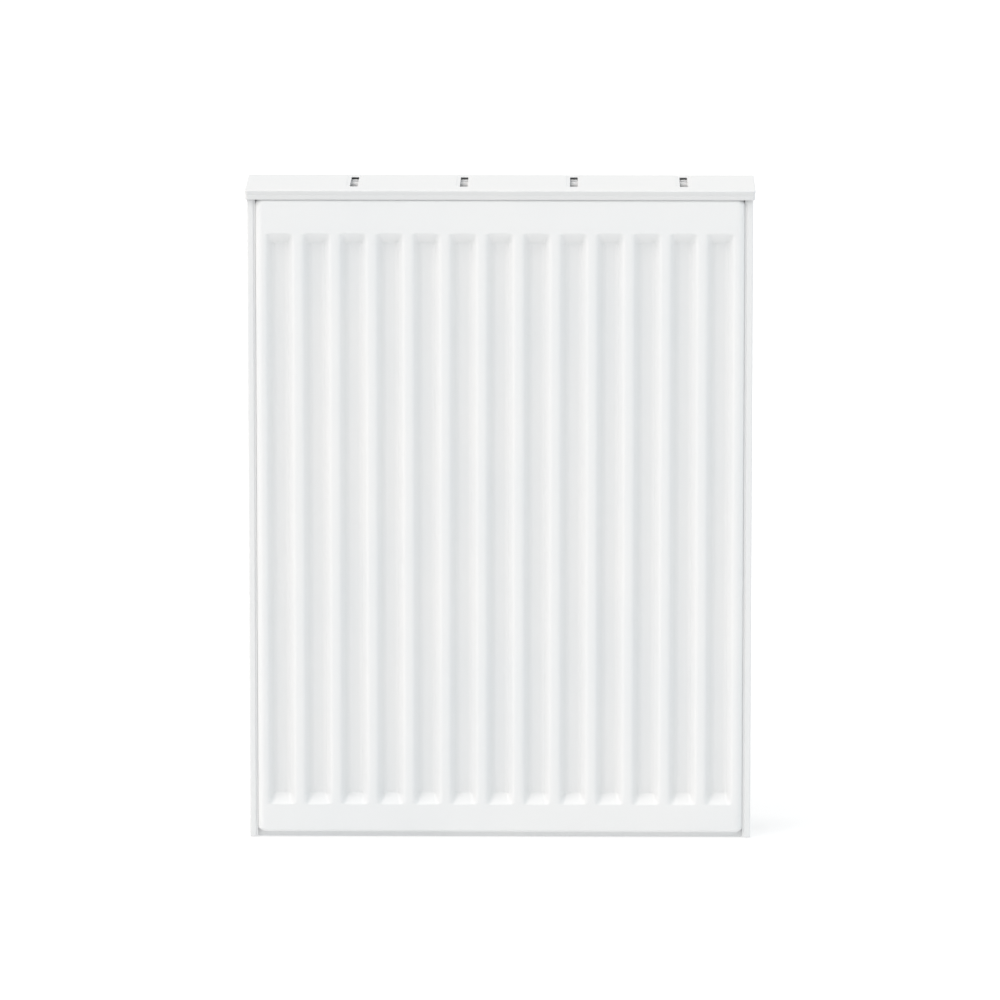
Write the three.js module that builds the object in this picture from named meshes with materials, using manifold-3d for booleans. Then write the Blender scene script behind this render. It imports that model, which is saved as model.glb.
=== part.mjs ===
// A compact steel panel radiator: two welded water panels with a corrugated convector on the
// inner side of each, joined by four tees, closed by two side panels and a lift-off top grille.
// Millimetres, +Z up. The front faces -Y, and z = 0 is the lower edge of the water panels.
import * as THREE from 'three';
import { mergeVertices } from 'three/addons/utils/BufferGeometryUtils.js';
import Module from 'manifold-3d';

const wasm = await Module();
wasm.setup();

// Whole radiator
const HEIGHT = 600;
const PANEL_WIDTH = 450;
const PANEL_HEIGHT = 592;
const DEPTH = 100; // between the outer faces of the two water panels
const PANEL_THICKNESS = 20;
const GAP = 0.3; // left between pieces that rest on or are welded to each other

// Pressed sheets of the water panels
const SHEET = 1.25;
const RISE = (PANEL_THICKNESS - GAP) / 2; // from the seam face of a sheet to its outer face
const EDGE_FLANGE = 5; // seam flange along the top and the bottom
const SIDE_FLANGE = 2.5;
const OUTER_BEND = 7;
const INNER_BEND = 4;
const GROOVES = 13;
const PITCH = 100 / 3;
const GROOVE_OPENING = 24.7;
const GROOVE_FLOOR = 12.7;
const GROOVE_END_SLOPE = 9.75; // run of the sloped end of a groove
const OUTER_GROOVE_LENGTH = 529;
const INNER_GROOVE_LENGTH = 500; // shorter, so that the tees sit on flat sheet

// Convectors
const FIN_SHEET = 0.6;
const FIN_DEPTH = 28;
const FIN_HEIGHT = 494;
const FIN_CREST = 8;
const FIN_VALLEY = 17;

// Tees with G1/2 side sockets
const TAPPING_SPACING = 546; // between the upper and the lower socket axis
const TEE_FROM_SIDE = 27;
const TEE_RADIUS = 13;
const TEE_BORE = 9;
const SOCKET_RADIUS = 14;
const SOCKET_BORE = 10.45;
const SOCKET_FACE = 222; // distance of the socket face from the middle of the radiator

// Side panels
const SIDE_SHEET = 0.8;
const SIDE_FACE = 229.5; // distance of the outer face from the middle of the radiator
const SIDE_RETURN = 2.8; // width of the folded front and rear edges
const SIDE_SETBACK = 1;
const SIDE_TOP = 598;
const SIDE_BOTTOM = 1;
const SIDE_HOLE = 19;

// Top grille
const GRILLE_SHEET = 1;
const GRILLE_HALF_WIDTH = 231.5;
const GRILLE_OVERHANG = 1.2; // past the outer faces of the panels
const GRILLE_LIP = 8.7;
const GRILLE_BEND = 2.5;
const SLOT_PLACES = [-4, -1, 2, 5].map((steps) => steps * PITCH);
const SLOT_WIDTH = 7.5;
const SLOT_LENGTH = 64;
const SLOT_MIDDLE = 10; // the slots sit behind the middle of the grille
const RECESS_MARGIN = 3.5;
const RECESS_DEPTH = 0.6;

// Spring clips on the seam flanges
const CLIP_WALL = 0.9;
const CLIP_HALF_SLOT = SHEET + GAP / 2 + GAP;
const GRILLE_CLIP_X = 100;
const GRILLE_CLIP_WIDTH = 16;
const GRILLE_CLIP_LEG = 4;
const SIDE_CLIP_LEG = 2;
const SIDE_CLIP_WIDTH = 14;
const SIDE_CLIP_PLACES = { lower: 130, upper: 462 };

// Hanging lugs on the rear panel
const LUG_SHEET = 2;
const LUG_STANDOFF = 6;
const LUG_WIDTH = 26;
const LUG_FOOT = 16;
const LUG_STRAP = 48;
const LUG_X = 150;
const LUG_FROM_EDGE = 13;

// Vent plug and blanking plug, measured outward from the face of their socket
const PLUG_SPIGOT_RADIUS = 10.1;
const PLUG_SPIGOT = 9;
const PLUG_HEX = 22; // across flats
const PLUG_HEX_FROM = 2.2;
const PLUG_HEX_TO = 4.4;
const SEAL_OUTER = 12.6;
const SEAL_THICKNESS = 1.6;
const VENT_BOSS_RADIUS = 4.6;
const VENT_BOSS_TO = 6.6;
const SCREW_SQUARE = 5;
const SCREW_SHANK = 2.6;
const SCREW_FROM = -5.5;
const SCREW_STEP = 3;
const SCREW_TO = 7.2;
const SQUARE_ROOM = 3.7;
const SEAT_HOLE = 1.5;
const COLLAR_OUTER = 7.5;
const COLLAR_TO = 7;
const SPOUT_RADIUS = 1.9;
const SPOUT_REACH = 12;
const HEX_KEY = 12; // recess of the blanking plug, across flats
const HEX_KEY_DEPTH = 6;

const ROUND = 24; // sides of a modelled cylinder
const PANEL_Y = (DEPTH - PANEL_THICKNESS) / 2;
const GAP_HALF = DEPTH / 2 - PANEL_THICKNESS; // half of the space between the panels
const TEE_X = PANEL_WIDTH / 2 - TEE_FROM_SIDE;
const GRILLE_HALF_DEPTH = DEPTH / 2 + GRILLE_OVERHANG;
const REAR = DEPTH / 2 + GAP + LUG_STANDOFF + LUG_SHEET;
const SIDES = { left: -1, right: 1 };
const LEVELS = { lower: -1, upper: 1 };

const material = (color, roughness, metalness) =>
  new THREE.MeshStandardMaterial({ color, roughness, metalness });
const enamel = () => material(0xf1f2f2, 0.35, 0);
const nickel = () => material(0xc9c6bf, 0.25, 1);
const springSteel = () => material(0x9a9c9e, 0.4, 1);
const rubber = () => material(0x1e1e1e, 0.8, 0);
const plastic = () => material(0xeeeeea, 0.5, 0);

function toSolid(geometry) {
  const bare = geometry.index ? geometry.toNonIndexed() : geometry.clone();
  bare.deleteAttribute('normal');
  bare.deleteAttribute('uv');
  const merged = mergeVertices(bare, 1e-4);
  return new wasm.Manifold(new wasm.Mesh({
    numProp: 3,
    vertProperties: merged.attributes.position.array,
    triVerts: merged.index.array,
  }));
}

function toGeometry(solid) {
  const { vertProperties, triVerts } = solid.getMesh();
  const geometry = new THREE.BufferGeometry();
  geometry.setAttribute('position', new THREE.BufferAttribute(vertProperties, 3));
  geometry.setIndex(new THREE.BufferAttribute(triVerts, 1));
  return geometry;
}

const join = (solids) => solids.reduce((sum, solid) => sum.add(solid));

function meshOf(name, solid, finish) {
  const mesh = new THREE.Mesh(toGeometry(solid), finish);
  mesh.name = name;
  return mesh;
}

function box(width, depth, height, x = 0, y = 0, z = 0) {
  return toSolid(new THREE.BoxGeometry(width, depth, height).translate(x, y, z));
}

// A cylinder along X whose ends are at from and to.
function rodX(radius, from, to, y = 0, z = 0, sides = ROUND) {
  const rod = new THREE.CylinderGeometry(radius, radius, to - from, sides);
  return toSolid(rod.rotateZ(-Math.PI / 2).translate((from + to) / 2, y, z));
}

// A cylinder along Y, centred on y = 0.
function rodY(radius, length, x, z) {
  return toSolid(new THREE.CylinderGeometry(radius, radius, length, ROUND).translate(x, 0, z));
}

function extrude(shape, depth, curveSegments = 3) {
  const flat = { depth, bevelEnabled: false, curveSegments };
  return new THREE.ExtrudeGeometry(shape, flat).translate(0, 0, -depth / 2);
}

const polygon = (points) => new THREE.Shape(points.map(([x, y]) => new THREE.Vector2(x, y)));

// An outline in XZ drawn along Y, centred on y = 0.
const alongY = (shape, length) => toSolid(extrude(shape, length).rotateX(Math.PI / 2));

// An outline in YZ drawn along X, centred on x = 0.
const TO_X = new THREE.Matrix4().makeBasis(
  new THREE.Vector3(0, 1, 0),
  new THREE.Vector3(0, 0, 1),
  new THREE.Vector3(1, 0, 0),
);
const alongX = (shape, length) => toSolid(extrude(shape, length).applyMatrix4(TO_X));

// A block from z = low to z = high with its two upper edges rounded.
function roundedOutline(half, low, high, radius) {
  const shape = new THREE.Shape();
  shape.moveTo(-half, low);
  shape.lineTo(half, low);
  shape.lineTo(half, high - radius);
  shape.absarc(half - radius, high - radius, radius, 0, Math.PI / 2);
  shape.lineTo(radius - half, high);
  shape.absarc(radius - half, high - radius, radius, Math.PI / 2, Math.PI);
  return shape;
}

// A low rectangular block whose four upper edges are rounded.
function tray(halfX, halfY, low, high, radius) {
  const acrossX = alongY(roundedOutline(halfX, low, high, radius), 2 * halfY);
  const acrossY = alongX(roundedOutline(halfY, low, high, radius), 2 * halfX);
  return acrossX.intersect(acrossY);
}

// A block with four sloped sides, wider at the top.
function taperedBlock(lowX, highX, lowY, highY, low, high) {
  const side = (a, b) => polygon([[-a, low], [a, low], [b, high], [-b, high]]);
  return alongY(side(lowX, highX), 2 * highY).intersect(alongX(side(lowY, highY), 2 * highX));
}

// One pressed groove, grown outward by grow and reaching from z = low to z = high.
function groove(length, grow, low, high) {
  const deep = RISE - SHEET;
  const slopeX = (GROOVE_OPENING - GROOVE_FLOOR) / 2 / deep;
  const slopeY = GROOVE_END_SLOPE / deep;
  const halfX = (z) => GROOVE_FLOOR / 2 + (z - SHEET) * slopeX + grow * Math.hypot(1, slopeX);
  const halfY = (z) =>
    length / 2 - GROOVE_END_SLOPE + (z - SHEET) * slopeY + grow * Math.hypot(1, slopeY);
  return taperedBlock(halfX(low), halfX(high), halfY(low), halfY(high), low, high);
}

function grooveRow(length, grow, low, high) {
  const one = groove(length, grow, low, high);
  const places = Array.from({ length: GROOVES }, (_, i) => (i - (GROOVES - 1) / 2) * PITCH);
  return join(places.map((x) => one.translate(x, 0, 0)));
}

// Half of a water panel, lying flat: seam face on z = 0, pressed out towards +Z.
function pressedSheet(grooveLength, bend) {
  const halfX = PANEL_WIDTH / 2 - SIDE_FLANGE;
  const halfY = PANEL_HEIGHT / 2 - EDGE_FLANGE;
  const flange = box(PANEL_WIDTH, PANEL_HEIGHT, SHEET, 0, 0, SHEET / 2);
  const raised = tray(halfX, halfY, 0, RISE, bend);
  const hollow = tray(halfX - SHEET, halfY - SHEET, -1, RISE - SHEET, bend - SHEET);
  const grooveWalls = grooveRow(grooveLength, SHEET, 0, RISE);
  const grooves = grooveRow(grooveLength, 0, SHEET, RISE + 1);
  return flange.add(raised).subtract(hollow.subtract(grooveWalls)).subtract(grooves);
}

// The inner sheets have a water hole under each tee.
function innerSheet() {
  const hole = toSolid(
    new THREE.CylinderGeometry(TEE_BORE, TEE_BORE, 3 * RISE, ROUND).rotateX(Math.PI / 2),
  );
  const corners = [-1, 1].flatMap((i) => [-1, 1].map((j) =>
    hole.translate(i * TEE_X, j * TAPPING_SPACING / 2, 0)));
  return pressedSheet(INNER_GROOVE_LENGTH, INNER_BEND).subtract(join(corners));
}

function stand(mesh) {
  mesh.rotation.x = Math.PI / 2;
  mesh.position.y = -GAP / 2;
  return mesh;
}

// One water panel: its outer sheet faces -Y.
function waterPanel(outerName, innerName) {
  const panel = new THREE.Group();
  const back = new THREE.Group();
  back.rotation.z = Math.PI;
  panel.add(stand(meshOf(outerName, pressedSheet(OUTER_GROOVE_LENGTH, OUTER_BEND), enamel())));
  back.add(stand(meshOf(innerName, innerSheet(), enamel())));
  panel.add(back);
  panel.position.z = PANEL_HEIGHT / 2;
  return panel;
}

// The corrugated section: narrow crests on the panel at y = 0, wide valleys at -FIN_DEPTH.
function finLine() {
  const waves = GROOVES - 1;
  const run = (PITCH - FIN_CREST - FIN_VALLEY) / 2;
  const points = [];
  for (let i = 0; i < waves; i += 1) {
    const x = (i - (waves - 1) / 2) * PITCH;
    points.push([x - FIN_CREST / 2 - run, -FIN_DEPTH], [x - FIN_CREST / 2, 0]);
    points.push([x + FIN_CREST / 2, 0], [x + FIN_CREST / 2 + run, -FIN_DEPTH]);
  }
  return points.map(([x, y]) => new THREE.Vector2(x, y));
}

// A closed outline of even thickness around an open line.
function thicken(line, thickness) {
  const offset = (sign) => line.map((point, i) => {
    const before = line[Math.max(i - 1, 0)];
    const after = line[Math.min(i + 1, line.length - 1)];
    const a = point.clone().sub(i ? before : after).multiplyScalar(i ? 1 : -1).normalize();
    const b = i < line.length - 1 ? after.clone().sub(point).normalize() : a;
    const normal = new THREE.Vector2(-a.y - b.y, a.x + b.x).normalize();
    const reach = thickness / 2 / (-normal.x * a.y + normal.y * a.x);
    return point.clone().addScaledVector(normal, sign * reach);
  });
  return new THREE.Shape([...offset(1), ...offset(-1).reverse()]);
}

function convector(name) {
  const outline = thicken(finLine(), FIN_SHEET);
  const mesh = meshOf(name, toSolid(extrude(outline, FIN_HEIGHT)), enamel());
  mesh.position.set(0, GAP_HALF - GAP - FIN_SHEET / 2, PANEL_HEIGHT / 2);
  return mesh;
}

// A tee at the origin: the tube runs along Y, the socket opens towards +X or -X.
function tee(name, side) {
  const face = SOCKET_FACE - TEE_X;
  const length = 2 * (GAP_HALF - GAP);
  const tube = rodY(TEE_RADIUS, length, 0, 0);
  const socket = rodX(SOCKET_RADIUS, 0, face);
  const waterway = rodY(TEE_BORE, length + 2, 0, 0);
  const thread = rodX(SOCKET_BORE, 0, face + 1);
  const mesh = meshOf(name, tube.add(socket).subtract(waterway).subtract(thread), enamel());
  mesh.rotation.z = side > 0 ? 0 : Math.PI;
  return mesh;
}

// A folded side cover for the +X end: a plain web with narrow returns and two round holes.
function sidePanel(name, side) {
  const half = DEPTH / 2 - SIDE_SETBACK;
  const web = SIDE_FACE - SIDE_SHEET;
  const root = SIDE_FACE - SIDE_RETURN;
  const fold = half - SIDE_SHEET;
  const section = polygon([
    [SIDE_FACE, -half], [SIDE_FACE, half], [root, half], [root, fold],
    [web, fold], [web, -fold], [root, -fold], [root, -half],
  ]);
  const tall = SIDE_TOP - SIDE_BOTTOM;
  const channel = toSolid(extrude(section, tall).translate(0, 0, (SIDE_TOP + SIDE_BOTTOM) / 2));
  const holes = Object.values(LEVELS).map((level) =>
    rodX(SIDE_HOLE, web - 1, SIDE_FACE + 1, 0, PANEL_HEIGHT / 2 + level * TAPPING_SPACING / 2));
  const mesh = meshOf(name, channel.subtract(join(holes)), enamel());
  mesh.rotation.z = side > 0 ? 0 : Math.PI;
  return mesh;
}

// A U-shaped clip that opens towards -Z, drawn along X. z = 0 is the top of the flange it grips.
function flangeClip(leg, back, width) {
  const outer = CLIP_HALF_SLOT + CLIP_WALL;
  return alongX(polygon([
    [-outer, -leg], [-CLIP_HALF_SLOT, -leg], [-CLIP_HALF_SLOT, GAP], [CLIP_HALF_SLOT, GAP],
    [CLIP_HALF_SLOT, -leg], [outer, -leg], [outer, back], [-outer, back],
  ]), width);
}

function grilleClip(name, x, y) {
  const back = HEIGHT - GRILLE_SHEET - GAP - PANEL_HEIGHT;
  const mesh = meshOf(name, flangeClip(GRILLE_CLIP_LEG, back, GRILLE_CLIP_WIDTH), springSteel());
  mesh.position.set(x, y, PANEL_HEIGHT);
  return mesh;
}

function sideClip(name, side, y, z) {
  const back = SIDE_FACE - SIDE_SHEET - GAP - PANEL_WIDTH / 2;
  const mesh = meshOf(name, flangeClip(SIDE_CLIP_LEG, back, SIDE_CLIP_WIDTH), springSteel());
  mesh.rotation.y = side * Math.PI / 2;
  mesh.position.set(side * PANEL_WIDTH / 2, y, z);
  return mesh;
}

// The top grille: a shallow folded tray with four air slots, each in a shallow pressed recess.
function topGrille() {
  const low = HEIGHT - GRILLE_LIP;
  const underside = HEIGHT - GRILLE_SHEET;
  const skin = tray(GRILLE_HALF_WIDTH, GRILLE_HALF_DEPTH, low, HEIGHT, GRILLE_BEND);
  const inside = tray(
    GRILLE_HALF_WIDTH - GRILLE_SHEET, GRILLE_HALF_DEPTH - GRILLE_SHEET,
    low - 1, underside, GRILLE_BEND - GRILLE_SHEET,
  );
  const wide = SLOT_WIDTH + 2 * RECESS_MARGIN;
  const long = SLOT_LENGTH + 2 * RECESS_MARGIN;
  const atSlots = (width, length, thickness, z) => join(SLOT_PLACES.map((x) =>
    box(width, length, thickness, x, SLOT_MIDDLE, z)));
  const pressed = atSlots(
    wide + 2 * GRILLE_SHEET, long + 2 * GRILLE_SHEET, GRILLE_SHEET, underside - RECESS_DEPTH + 0.5,
  );
  const recesses = atSlots(wide, long, 2 * RECESS_DEPTH, HEIGHT);
  const slots = atSlots(SLOT_WIDTH, SLOT_LENGTH, 3 * GRILLE_SHEET, underside);
  const plate = skin.subtract(inside).add(pressed).subtract(recesses).subtract(slots);
  return meshOf('top_grille', plate, enamel());
}

// A hanging lug: welded foot, a step outward, and a strap that a wall hook slides behind.
function hangingLug(name, x, level) {
  const foot = DEPTH / 2 + GAP;
  const strap = foot + LUG_STANDOFF;
  const section = polygon([
    [foot, 0], [foot + LUG_SHEET, 0], [foot + LUG_SHEET, -LUG_FOOT],
    [strap + LUG_SHEET, -LUG_FOOT - LUG_STANDOFF],
    [strap + LUG_SHEET, -LUG_FOOT - LUG_STRAP], [strap, -LUG_FOOT - LUG_STRAP],
    [strap, -LUG_FOOT - LUG_STANDOFF + LUG_SHEET / 2], [foot, -LUG_FOOT + LUG_SHEET / 2],
  ]);
  const upright = alongX(section, LUG_WIDTH);
  const solid = level > 0 ? upright : upright.mirror([0, 0, 1]);
  const mesh = meshOf(name, solid, enamel());
  mesh.position.set(x, 0, PANEL_HEIGHT / 2 + level * (PANEL_HEIGHT / 2 - LUG_FROM_EDGE));
  return mesh;
}

// A round body about the X axis from a closed profile of [distance along X, radius] points.
function turned(profile) {
  const points = profile.map(([along, radius]) => new THREE.Vector2(radius, along));
  return toSolid(new THREE.LatheGeometry([...points, points[0]], ROUND).rotateZ(-Math.PI / 2));
}

// A bar of even cross section along X with flat sides, across flats wide.
function flatSided(sides, acrossFlats, from, to) {
  const radius = acrossFlats / 2 / Math.cos(Math.PI / sides);
  return rodX(radius, from, to, 0, 0, sides);
}

function ventPlugBody() {
  const room = SCREW_SHANK + GAP;
  const core = turned([
    [-PLUG_SPIGOT, SEAT_HOLE], [-PLUG_SPIGOT, PLUG_SPIGOT_RADIUS],
    [PLUG_HEX_TO - 1, PLUG_SPIGOT_RADIUS], [PLUG_HEX_TO - 1, VENT_BOSS_RADIUS],
    [VENT_BOSS_TO, VENT_BOSS_RADIUS], [VENT_BOSS_TO, SQUARE_ROOM],
    [SCREW_STEP - GAP, SQUARE_ROOM], [SCREW_STEP - GAP, room],
    [SCREW_FROM - GAP, room], [SCREW_FROM - GAP - 1, SEAT_HOLE],
  ]);
  const head = flatSided(6, PLUG_HEX, PLUG_HEX_FROM, PLUG_HEX_TO);
  const opening = rodX(PLUG_SPIGOT_RADIUS - 1, PLUG_HEX_FROM - 1, PLUG_HEX_TO + 1);
  const web = turned([
    [PLUG_HEX_FROM, VENT_BOSS_RADIUS - 0.5], [PLUG_HEX_FROM, PLUG_SPIGOT_RADIUS],
    [PLUG_HEX_TO, PLUG_SPIGOT_RADIUS], [PLUG_HEX_TO, VENT_BOSS_RADIUS - 0.5],
  ]);
  return core.add(head.subtract(opening)).add(web);
}

const plugSeal = () => turned([
  [GAP, PLUG_SPIGOT_RADIUS + GAP], [GAP, SEAL_OUTER - SEAL_THICKNESS / 4],
  [GAP + SEAL_THICKNESS / 2, SEAL_OUTER], [GAP + SEAL_THICKNESS, SEAL_OUTER - SEAL_THICKNESS / 4],
  [GAP + SEAL_THICKNESS, PLUG_SPIGOT_RADIUS + GAP],
]);

// A loose ring around the boss of the vent plug, with a spout that points the water away.
function ventCollar() {
  const inner = VENT_BOSS_RADIUS + GAP;
  const from = PLUG_HEX_TO + GAP;
  const ring = turned([[from, inner], [from, COLLAR_OUTER], [COLLAR_TO, COLLAR_OUTER],
    [COLLAR_TO, inner]]);
  const middle = (from + COLLAR_TO) / 2;
  const spout = new THREE.CylinderGeometry(SPOUT_RADIUS - 0.8, SPOUT_RADIUS - 0.8,
    SPOUT_REACH - inner - 1, 12);
  const placed = spout.rotateX(Math.PI / 2).translate(middle, 0, -(SPOUT_REACH + inner + 1) / 2);
  return ring.add(toSolid(placed));
}

function bleedScrew() {
  const square = flatSided(4, SCREW_SQUARE, SCREW_STEP, SCREW_TO);
  return square.add(rodX(SCREW_SHANK, SCREW_FROM, SCREW_STEP + 0.5));
}

function blankingPlugBody() {
  const spigot = rodX(PLUG_SPIGOT_RADIUS, -PLUG_SPIGOT, PLUG_HEX_FROM + 0.5);
  const head = flatSided(6, PLUG_HEX, PLUG_HEX_FROM, PLUG_HEX_TO);
  const key = flatSided(6, HEX_KEY, PLUG_HEX_TO - HEX_KEY_DEPTH, PLUG_HEX_TO + 1);
  return spigot.add(head).subtract(key);
}

// The pieces of one upper socket, placed on its face.
function socketFitting(side, pieces) {
  const fitting = new THREE.Group();
  fitting.add(...pieces);
  fitting.rotation.z = side > 0 ? 0 : Math.PI;
  fitting.position.set(side * SOCKET_FACE, 0, (PANEL_HEIGHT + TAPPING_SPACING) / 2);
  return fitting;
}

const radiator = new THREE.Group();

const frontPanel = waterPanel('front_panel_front_sheet', 'front_panel_rear_sheet');
frontPanel.position.y = -PANEL_Y;
const rearPanel = waterPanel('rear_panel_rear_sheet', 'rear_panel_front_sheet');
rearPanel.position.y = PANEL_Y;
rearPanel.rotation.z = Math.PI;
radiator.add(frontPanel, rearPanel);

const frontHalf = new THREE.Group();
frontHalf.add(convector('front_convector'));
frontHalf.rotation.z = Math.PI;
radiator.add(frontHalf, convector('rear_convector'));

for (const [sideName, side] of Object.entries(SIDES)) {
  radiator.add(sidePanel(`${sideName}_side_panel`, side));
  for (const [levelName, level] of Object.entries(LEVELS)) {
    const corner = tee(`${levelName}_${sideName}_tee`, side);
    corner.position.set(side * TEE_X, 0, PANEL_HEIGHT / 2 + level * TAPPING_SPACING / 2);
    radiator.add(corner);
    radiator.add(hangingLug(`${levelName}_${sideName}_lug`, side * LUG_X, level));
    for (const [panelName, y] of [['front', -PANEL_Y], ['rear', PANEL_Y]]) {
      const name = `${levelName}_${sideName}_${panelName}_side_clip`;
      radiator.add(sideClip(name, side, y, SIDE_CLIP_PLACES[levelName]));
    }
  }
  for (const [panelName, y] of [['front', -PANEL_Y], ['rear', PANEL_Y]]) {
    radiator.add(grilleClip(`${panelName}_${sideName}_grille_clip`, side * GRILLE_CLIP_X, y));
  }
}
radiator.add(topGrille());

radiator.add(socketFitting(1, [
  meshOf('vent_plug_body', ventPlugBody(), nickel()),
  meshOf('vent_plug_seal', plugSeal(), rubber()),
  meshOf('vent_collar', ventCollar(), plastic()),
  meshOf('bleed_screw', bleedScrew(), nickel()),
]));
radiator.add(socketFitting(-1, [
  meshOf('blanking_plug', blankingPlugBody(), nickel()),
  meshOf('blanking_plug_seal', plugSeal(), rubber()),
]));

// The origin is under the middle of the whole, between the grille's front and the lugs' backs.
radiator.position.y = (GRILLE_HALF_DEPTH - REAR) / 2;
radiator.updateMatrixWorld(true);

export default radiator;
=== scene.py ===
"""Looks of a white steel panel radiator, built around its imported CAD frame.

Lengths are in metres in the frame's own axes: +Z up, the front of the radiator faces -Y.
Places come from the CAD nodes' boxes; MM turns the sheet-metal sizes below into metres.
"""
import math

import bmesh
import bpy
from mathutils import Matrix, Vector


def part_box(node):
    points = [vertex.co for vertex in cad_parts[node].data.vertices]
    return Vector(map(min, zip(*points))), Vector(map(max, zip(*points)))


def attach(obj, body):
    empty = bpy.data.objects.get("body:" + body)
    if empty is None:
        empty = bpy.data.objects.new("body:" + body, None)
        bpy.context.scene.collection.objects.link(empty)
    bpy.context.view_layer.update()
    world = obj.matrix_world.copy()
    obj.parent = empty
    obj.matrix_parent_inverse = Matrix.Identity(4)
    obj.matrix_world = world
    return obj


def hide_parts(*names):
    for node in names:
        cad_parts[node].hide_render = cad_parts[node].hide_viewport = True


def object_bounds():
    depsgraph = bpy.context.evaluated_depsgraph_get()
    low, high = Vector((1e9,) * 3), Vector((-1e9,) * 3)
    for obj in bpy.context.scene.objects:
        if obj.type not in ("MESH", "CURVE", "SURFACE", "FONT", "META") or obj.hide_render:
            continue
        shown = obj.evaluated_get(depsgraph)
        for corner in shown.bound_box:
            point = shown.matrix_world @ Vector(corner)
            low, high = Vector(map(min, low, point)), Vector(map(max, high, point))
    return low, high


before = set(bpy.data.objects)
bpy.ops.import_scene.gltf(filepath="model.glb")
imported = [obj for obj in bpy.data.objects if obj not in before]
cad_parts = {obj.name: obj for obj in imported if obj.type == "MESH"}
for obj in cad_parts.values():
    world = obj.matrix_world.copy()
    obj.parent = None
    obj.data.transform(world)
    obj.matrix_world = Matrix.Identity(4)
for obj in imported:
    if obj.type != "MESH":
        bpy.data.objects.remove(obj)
cad_low, cad_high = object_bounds()

MM = 0.001
ROOT, GRILLE, COLLAR, SCREW = "radiator", "grille", "vent_collar", "bleed_screw"
SIDES = {"left": -1, "right": 1}
LEVELS = {"lower": -1, "upper": 1}
PANELS = ("front", "rear")

# Pressed sheets of the water panels
SHEET = 1.25 * MM
PITCH = 100 / 3 * MM
GROOVES = 13
MOUTH = 24.7 * MM
WALL_RUN = 6.0 * MM
END_RUN = 9.75 * MM
MOUTH_RADIUS = 4.8 * MM
FLOOR_RADIUS = 5.5 * MM
END_RADIUS = 2.6 * MM
CORNER_SHARPNESS = 5
OUTER_GROOVE = 529 * MM
INNER_GROOVE = 500 * MM
BOTTOM_FLANGE = 5.0 * MM
TOP_FLANGE = 2.8 * MM
TOP_RAISE = 5.0 * MM
TOP_LEAN = 6.0 * MM
SIDE_FLANGE = 2.5 * MM
FLANGE_FILLET = 1.0 * MM
OUTER_BEND = 7.0 * MM
INNER_BEND = 4.0 * MM
BOTTOM_BEND = 3.0 * MM
PLAN_RADIUS = 2.0 * MM

# Top grille
GRILLE_SHEET = 0.9 * MM
GRILLE_BEND = 1.2 * MM
LIP_LEAN = 0.7 * MM
LIP_CREASE = 4.2 * MM
CREASE_RISE = 0.4 * MM
CREASE_OUT = 0.15 * MM
CREASE_IN = 0.1 * MM
BEAD_HALF = 2.0 * MM
BEAD_RISE = 0.4 * MM
SLOT_STEPS = (-4, -1, 2, 5)
SLOT_WIDTH = 6.8 * MM
SLOT_LENGTH = 63 * MM
SLOT_MIDDLE = 10 * MM
RECESS_MARGIN = 3.5 * MM
RECESS_SLOPE = 0.7 * MM
RECESS_DEPTH = 0.6 * MM
PATCH_MARGIN = RECESS_MARGIN + 0.7 * MM
# Rings of a recess from its rim down: distance past the slot, depth and corner radius
RECESS_RINGS = (
    (RECESS_MARGIN + 0.4 * MM, 0, 4 * MM),
    (RECESS_MARGIN, 0.12 * MM, 3.5 * MM),
    (RECESS_MARGIN - RECESS_SLOPE, RECESS_DEPTH, 3 * MM),
    (0.3 * MM, RECESS_DEPTH, 1.6 * MM),
    (0, RECESS_DEPTH + 0.3 * MM, 1.3 * MM),
    (0, RECESS_DEPTH + 0.9 * MM, 1.3 * MM),
)

# Covers, convectors, clips and lugs
SIDE_SHEET = 0.8 * MM
SIDE_HOLE = 19 * MM
SIDE_INSET = 1.9 * MM
SIDE_BEND = 1.0 * MM
RETURN_REACH = 223.7 * MM
FOLD_REACH = 222.1 * MM
FOLD_STEP = 1.1 * MM
FIN_SHEET = 0.6 * MM
FIN_CREST = 8 * MM
FIN_VALLEY = 17 * MM
FIN_BEND = 2.2 * MM
CLIP_SHEET = 0.9 * MM
CLIP_BEND = 0.9 * MM
CLIP_PINCH = 1.2 * MM
CLIP_FLARE = 2.6 * MM
CLIP_GRIP = 0.1 * MM
CLIP_LEG_CUT = 6.9 * MM
LUG_SHEET = 2.0 * MM
LUG_FOOT = 16 * MM
LUG_BEND = 3.0 * MM
WELD_STEP = 7 * MM
# Section of a weld spot: distance out of the foot and radius
WELD_SPOT = ((-0.4 * MM, 0), (-0.4 * MM, 2.6 * MM), (0, 2.4 * MM), (0.25 * MM, 1.5 * MM), (0.1 * MM, 0))

# Tees and their threaded sockets
TEE_RADIUS = 13 * MM
TEE_BORE = 9 * MM
TEE_WELD = 1.8 * MM
SOCKET_RADIUS = 14 * MM
SOCKET_EDGE = 0.8 * MM
SOCKET_BORE = 10.45 * MM
LEAD_GROWTH = 0.9 * MM
LEAD_STEP = 0.3 * MM
LEAD_DEPTH = 0.5 * MM
THREAD_STOP = 1.2 * MM
THREAD_STEPS = 48
THREAD_PITCH = 1.814 * MM
THREAD_HEIGHT = 0.9 * MM

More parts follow.
